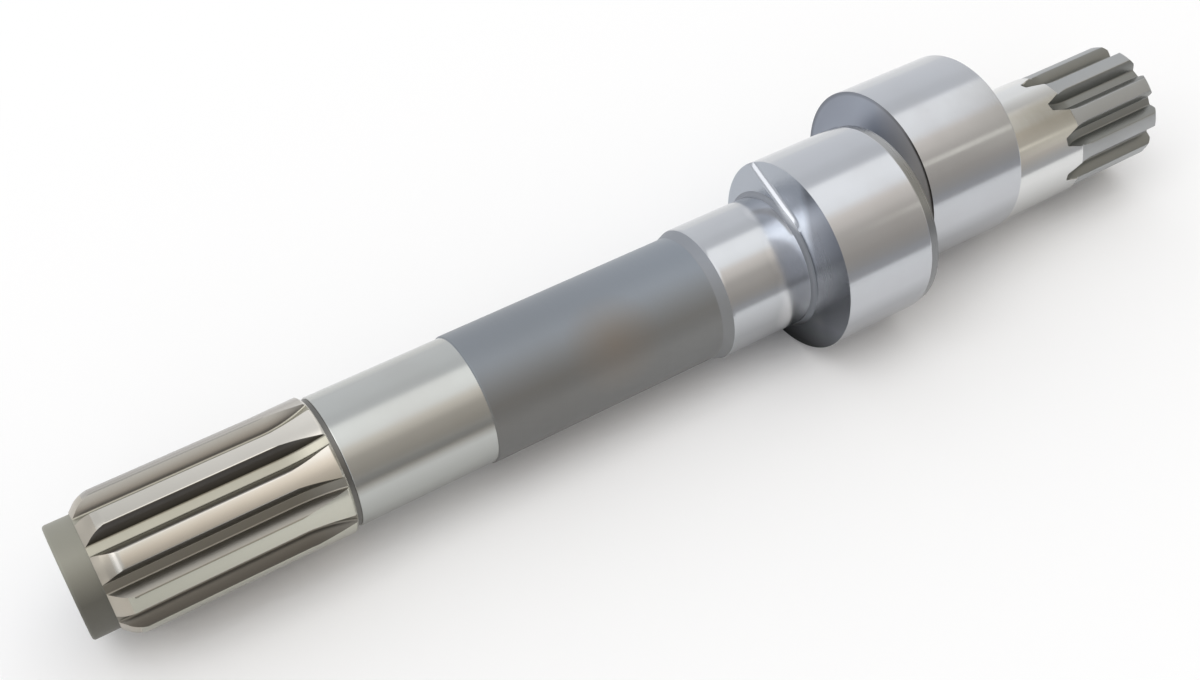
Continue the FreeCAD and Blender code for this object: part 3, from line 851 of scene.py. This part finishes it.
# %% Blank and gap floor
def blank_radius(station):
    """Radius of the turned blank before hobbing, inside the two splines."""
    if station < TIPS_START:
        slope = (TIP_RADIUS - CHAMFER_RADIUS) / (TIPS_START - STUB_END)
        return CHAMFER_RADIUS + (station - STUB_END) * slope
    tips_end = TIPS_END if station < SPLINE_END else REAR_TIPS_END
    return min(TIP_RADIUS, TIP_RADIUS - (station - tips_end))


def front_floor(station):
    """Radius of a front gap's floor: level, then up along the hob."""
    beyond = min(max(0.0, station - FRONT_LEVEL_END), FRONT_HOB)
    return ROOT_RADIUS + FRONT_HOB - math.sqrt(FRONT_HOB ** 2 - beyond ** 2)


print("gap floor at the relief groove", round(front_floor(SPLINE_END), 2), "mm")

# %% Sort the faces
# How much of a face's normal must point round the bar for a flank, and along it for an end or a flat
FLANK_TURN = 0.35
END_TURN = 0.35
FLAT_TURN = 0.9


def front_spline_finish(station, reach, behind, sideways, normal):
    """Finish of a face of the front spline; behind is true on the half away from the camera."""
    if reach < min(blank_radius(station) - 0.05, front_floor(station) + 0.3):
        return "spline_floor"
    if abs(sideways) > FLANK_TURN:
        return "shaded_flank" if sideways > 0 or behind else "lit_flank"
    return "spline_end" if normal.x < -END_TURN else "spline_land"


def lobe_finish(station, normal):
    """Finish of a face of either lobe, or of the web between them."""
    if abs(normal.x) > FLAT_TURN:
        return "lobe_face" if station < LOBE_ONE[1] - 1 else "shaded_lobe_face"
    lead_in_start = LOBE_ONE[1] - LEAD_IN + 0.1
    return "lobe_lead_in" if lead_in_start < station < LOBE_ONE[1] + FILLET else "lobe_ground"


def rear_spline_finish(station, reach, normal):
    cut = reach < blank_radius(station) - 0.12
    return "rear_gap" if cut and abs(normal.x) < 0.95 else "rear_spline_grey"


def finish_of(centre, normal):
    """Name of the finish for a face with this middle and normal.

    The small allowances, in mm, keep the faces of a rounded corner with the surface they belong to.
    """
    station = centre.x / MM + SEAT_MIDDLE
    reach = math.hypot(centre.y, centre.z) / MM
    # How far the face looks round the bar instead of outwards: a tooth's flank does, its land doesn't
    sideways = (normal.z * centre.y - normal.y * centre.z) / (reach * MM)
    if station < STUB_END and reach < STUB_RADIUS + 0.4:
        return "stub_satin"
    if station < SPLINE_END:
        return front_spline_finish(station, reach, centre.y > 0, sideways, normal)
    if station < JOURNAL_START - 0.05:
        return "relief_shaded"
    if station < JOURNAL_END:
        return "journal_ground" if reach > JOURNAL_RADIUS - 0.3 else "relief_shaded"
    if station < MIDDLE_END - 0.1:
        return "middle_dark"
    if station < SEAT_START - 0.4:
        return "lead_in_dark"
    if station < LOBE_ONE[0] - FILLET:
        return "seat_ground"
    if station < LOBE_ONE[0] - 0.01:
        return "fillet_soft"
    if station < LOBE_TWO[1] + FILLET:
        return lobe_finish(station, normal)
    if station < REAR_SEAT_END + 0.1:
        return "rear_gap" if reach < REAR_SEAT_RADIUS - 0.2 else "rear_seat_ground"
    return rear_spline_finish(station, reach, normal)


for face in shaft.data.polygons:
    face.material_index = names.index(finish_of(face.center, face.normal))
for place, name in enumerate(names):
    print(name, sum(1 for face in shaft.data.polygons if face.material_index == place), "faces")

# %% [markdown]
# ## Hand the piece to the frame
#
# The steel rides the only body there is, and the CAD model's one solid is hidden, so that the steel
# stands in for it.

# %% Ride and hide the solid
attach(shaft, "root")
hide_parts("pump_shaft")
print("pieces on the root body", [shaft.name])

# %% [markdown]
# ## Floor
#
# The bar lies on white paper. Near it the floor is matt and takes the shadow. Farther off it turns into
# a plain white glow, but only for the camera and for mirror rays, so it lights nothing and the picture
# stays white to its edges. A floor that were all matt would fade to grey, and one that were all glow
# would lose the shadow.

# %% Floor
FLOOR_REACH = 15.0
BAR_MIDDLE = 200.0
BAR_REACH = 0.20
# Millimetres from the bar where the glow starts, and where it is full
GLOW_START = 50.0
GLOW_FULL = 270.0
floor_bm = bmesh.new()
bmesh.ops.create_grid(floor_bm, x_segments=1, y_segments=1, size=FLOOR_REACH)
bmesh.ops.translate(floor_bm, verts=floor_bm.verts[:], vec=(0, 0, low.z))
floor = piece("floor", floor_bm)
floor_material, kit = new_material("floor_white")
along, beside, up = kit.axes(kit.node("ShaderNodeTexCoord").outputs["Object"])
beyond_end = ((along - at(BAR_MIDDLE).x).maths("ABSOLUTE") - BAR_REACH).maths("MAXIMUM", 0.0)
distance = (beyond_end * beyond_end + beside * beside).maths("SQRT")
far = rise(distance, GLOW_START, GLOW_FULL)
ray = kit.node("ShaderNodeLightPath")
seen = kit.out(ray, "Is Camera Ray") + kit.out(ray, "Is Glossy Ray") + kit.out(ray, "Is Transmission Ray")
matt = kit.node("ShaderNodeBsdfDiffuse", Color=rgb(0.93, 0.93, 0.93), Roughness=0.0)
paper = kit.node("ShaderNodeEmission", Color=rgb(1.0, 1.0, 1.0), Strength=1.0)
glow = kit.mix_shaders(far * far * (3.0 - far * 2.0) * seen.clamped(), matt, paper)
kit.node("ShaderNodeOutputMaterial", Surface=glow)
floor.data.materials.append(floor_material)
print("floor at", round(low.z, 5))

# %% [markdown]
# ## Grey card
#
# A photographer sets a card where polished metal would mirror too much white. This one stands low in
# front of the bar, and only mirror rays see it: the lower half of the steel gets its darker side from it.

# %% Grey card
CARD_LONG = 4.0
CARD_TALL = 0.056
CARD_AWAY = 0.30
card_bm = bmesh.new()
bmesh.ops.create_grid(card_bm, x_segments=1, y_segments=1, size=0.5)
bmesh.ops.scale(card_bm, verts=card_bm.verts[:], vec=(CARD_LONG, CARD_TALL, 1.0))
upright = Matrix.Rotation(math.radians(90), 3, "X")
bmesh.ops.rotate(card_bm, verts=card_bm.verts[:], cent=(0, 0, 0), matrix=upright)
bmesh.ops.translate(card_bm, verts=card_bm.verts[:], vec=(0, -CARD_AWAY, low.z + CARD_TALL / 2))
card = piece("grey_card", card_bm)
card.visible_camera = False
card.visible_diffuse = False
card.visible_shadow = False
card_material, kit = new_material("card_grey")
glow = kit.node("ShaderNodeEmission", Color=rgb(0.44, 0.44, 0.45), Strength=1.0)
kit.node("ShaderNodeOutputMaterial", Surface=glow.outputs[0])
card.data.materials.append(card_material)
print("card", CARD_LONG, "by", CARD_TALL, "m")

# %% [markdown]
# ## The room
#
# Polished steel shows its surroundings more than its own colour. So the studio is drawn in the world: a
# pale room behind, a broad soft light overhead and a dim side where the camera stands. Lamps would do
# it too, but their edges would have to be found one by one. Here all of it is told by one angle about
# the shaft's direction, which is what the long bands on the steel follow, and a colour ramp holds it.

# %% Angle about the shaft
LEVEL_TOP = 4.0
LEAN = 28.0
LEAN_MIDDLE = 0.47
world = bpy.data.worlds.new("studio")
bpy.context.scene.world = world
kit = Kit(world)
x, y, z = kit.axes(kit.node("ShaderNodeTexCoord").outputs["Generated"])
around = (z.maths("ARCTAN2", y) / math.tau + 0.25).maths("FRACT")


def ring_place(degrees):
    """Place on the ring about the shaft: 0 is level behind it, 90 overhead, 180 level in front."""
    return (degrees + 90.0) / 360.0


def past(start, end):
    """0 before one angle about the shaft, 1 past another."""
    return kit.between(around, ring_place(start), ring_place(end))


def stop(degrees, level, tint=(1.0, 1.0, 1.0)):
    """Ramp stop at an angle; a ramp holds no more than 1, so levels are kept as shares of LEVEL_TOP."""
    return (ring_place(degrees), tuple(level * t / LEVEL_TOP for t in tint))


# The overhead light leans a little: its far end stands farther back
leaning = around + (x - LEAN_MIDDLE) * (LEAN / 360.0) * (1.0 - past(118, 146))
print("overhead is at", ring_place(90), "on the ring")

# %% The room as the middle of the bar sees it
COOL = (0.985, 1.0, 1.03)
WARM = (1.08, 1.0, 0.91)
SAND = (1.05, 1.0, 0.88)
room_stops = [
    stop(-89, 0.9), stop(-5, 0.95, COOL), stop(5, 1.02, COOL), stop(40, 0.98, COOL), stop(55, 0.88, COOL),
    stop(66, 0.88, COOL), stop(72, 1.50), stop(90, 1.50), stop(104, 1.40), stop(114, 1.04, WARM),
    stop(126, 0.86, WARM), stop(136, 0.60, WARM), stop(148, 0.56, WARM), stop(162, 0.47, WARM),
    stop(185, 0.44), stop(190, 0.80), stop(200, 0.92), stop(269, 0.9)]
room = kit.node("ShaderNodeValToRGB", {"stops": room_stops}, Fac=leaning)
print("room", len(room_stops), "stops")

# %% The room past both ends
rear_stops = [
    stop(-89, 0.9), stop(-5, 1.10, COOL), stop(40, 1.03), stop(51, 0.96), stop(62, 0.85),
    stop(74, 0.68, SAND), stop(86, 0.59, SAND), stop(100, 0.54, SAND), stop(112, 0.54, SAND),
    stop(123, 0.57, SAND), stop(134, 0.67, SAND), stop(141, 0.78, SAND), stop(150, 0.76, SAND),
    stop(160, 0.57, WARM), stop(172, 0.50), stop(185, 0.50), stop(190, 0.9), stop(200, 1.0), stop(269, 0.9)]
left_stops = [
    stop(-89, 0.9), stop(-5, 0.95, COOL), stop(5, 1.02, COOL), stop(60, 0.85, COOL), stop(70, 0.85, COOL),
    stop(75, 2.3), stop(98, 2.3), stop(108, 1.3), stop(120, 0.9), stop(136, 0.75, COOL),
    stop(148, 0.66, COOL), stop(160, 0.60, COOL), stop(185, 0.50), stop(190, 0.6), stop(200, 0.7),
    stop(269, 0.7)]
rear = kit.node("ShaderNodeValToRGB", {"stops": rear_stops}, Fac=around)
left = kit.node("ShaderNodeValToRGB", {"stops": left_stops}, Fac=around)
print("rear", len(rear_stops), "stops, left", len(left_stops), "stops")

# %% [markdown]
# ## Putting the room together
#
# The bar is long, so its far end mirrors one part of the room and its near end another. The ray's own
# direction along the shaft says which, and narrow smooth steps on it join the three rings. A dark line
# and a lighter strip, each a product of such steps, are then laid over them.

# %% Join the rings
LINE_COLOUR = rgb(0.30, 0.287, 0.255)
STRIP_GAIN = rgb(2.1, 2.1, 2.15)
colour = kit.mix(kit.between(x, 0.626, 0.631), room.outputs[0], rear.outputs[0])
line = past(134.0, 136.5) * (1.0 - past(140.5, 141.5))
line = line * kit.between(x, 0.555, 0.58) * (1.0 - kit.between(x, 0.63, 0.65))
colour = kit.mix(line, colour, LINE_COLOUR)
colour = kit.mix(kit.between(x, -0.05, -0.28), colour, left.outputs[0])
# The front seat looks past the lobe's face into the room behind the camera, so that strip is lighter
strip = kit.between(x, -0.36, -0.41) * (1.0 - kit.between(x, -0.54, -0.59))
gain = past(62, 72) * 0.4 + past(100, 112) * 0.6
colour = kit.mix(strip * gain * (1.0 - past(176, 186)), colour, STRIP_GAIN, "MULTIPLY")
print("room nodes", len(kit.tree.nodes))

# %% Light the scene
ROOM_STRENGTH = 3.68
light = kit.node("ShaderNodeBackground", Color=colour, Strength=ROOM_STRENGTH)
# Past the floor's edge the camera itself sees plain white, and only the steel sees the room
plain = kit.node("ShaderNodeBackground", Color=rgb(1.0, 1.0, 1.0), Strength=1.0)
direct = kit.out(kit.node("ShaderNodeLightPath"), "Is Camera Ray")
kit.node("ShaderNodeOutputWorld", Surface=kit.mix_shaders(direct, light, plain))
bpy.context.scene.view_settings.view_transform = "Standard"
print("room strength", ROOM_STRENGTH)
